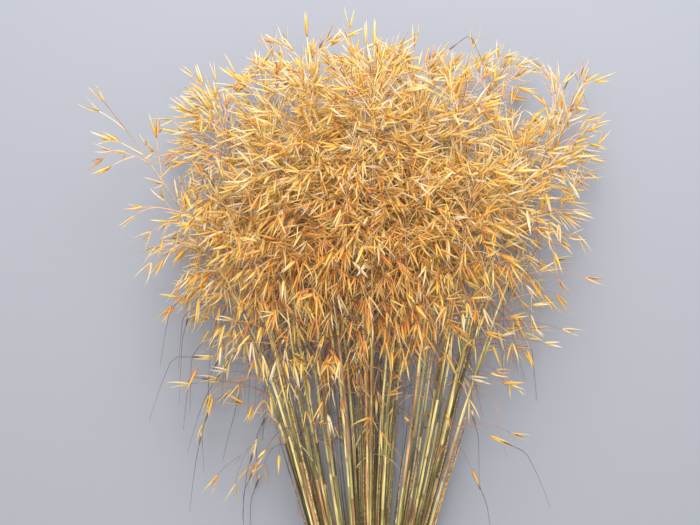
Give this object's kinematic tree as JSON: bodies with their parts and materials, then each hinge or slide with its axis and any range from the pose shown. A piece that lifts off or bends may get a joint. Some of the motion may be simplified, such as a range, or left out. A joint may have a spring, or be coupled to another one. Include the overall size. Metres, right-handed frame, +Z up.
{
  "type": "dried feather grass bundle",
  "caption": "Tied bundle of dried feather grass, lying down: straws fan out from a twine tie into a broad, loose head of golden papery spikelets on wiry branches",
  "frame": {"origin": "on the flat underside of the tie, in the surface that the bundle lies on, at the middle of the tie's width", "axes": "+Y runs along the straws from the tie to the heads, +Z is up from the surface, +X is to the side"},
  "size_m": [0.6866, 1.0556, 0.2852],
  "materials": {
    "straw": "matte",
    "twine": "matte"
  },
  "bodies": {
    "root": {"grass_stem_01": "straw", "grass_stem_02": "straw", "grass_stem_03": "straw", "grass_stem_04": "straw", "grass_stem_05": "straw", "grass_stem_06": "straw", "grass_stem_07": "straw", "grass_stem_08": "straw", "grass_stem_09": "straw", "grass_stem_10": "straw", "grass_stem_11": "straw", "grass_stem_12": "straw", "grass_stem_13": "straw", "grass_stem_14": "straw", "grass_stem_15": "straw", "grass_stem_16": "straw", "grass_stem_17": "straw", "grass_stem_18": "straw", "grass_stem_19": "straw", "grass_stem_20": "straw", "grass_stem_21": "straw", "grass_stem_22": "straw", "grass_stem_23": "straw", "grass_stem_24": "straw", "grass_stem_25": "straw", "grass_stem_26": "straw", "grass_stem_27": "straw", "grass_stem_28": "straw", "grass_stem_29": "straw", "grass_stem_30": "straw", "grass_stem_31": "straw", "grass_stem_32": "straw", "grass_stem_33": "straw", "grass_stem_34": "straw", "grass_stem_35": "straw", "grass_stem_36": "straw", "grass_stem_37": "straw", "grass_stem_38": "straw", "grass_stem_39": "straw", "grass_stem_40": "straw", "grass_stem_41": "straw", "grass_stem_42": "straw", "grass_stem_43": "straw", "grass_stem_44": "straw", "grass_stem_45": "straw", "grass_stem_46": "straw", "grass_stem_47": "straw", "grass_stem_48": "straw", "grass_stem_49": "straw", "grass_stem_50": "straw", "grass_stem_51": "straw", "grass_stem_52": "straw", "grass_stem_53": "straw", "grass_stem_54": "straw", "grass_stem_55": "straw", "grass_stem_56": "straw", "grass_stem_57": "straw", "grass_stem_58": "straw", "grass_stem_59": "straw", "twine_tie": "twine"}
  },
  "joints": []
}
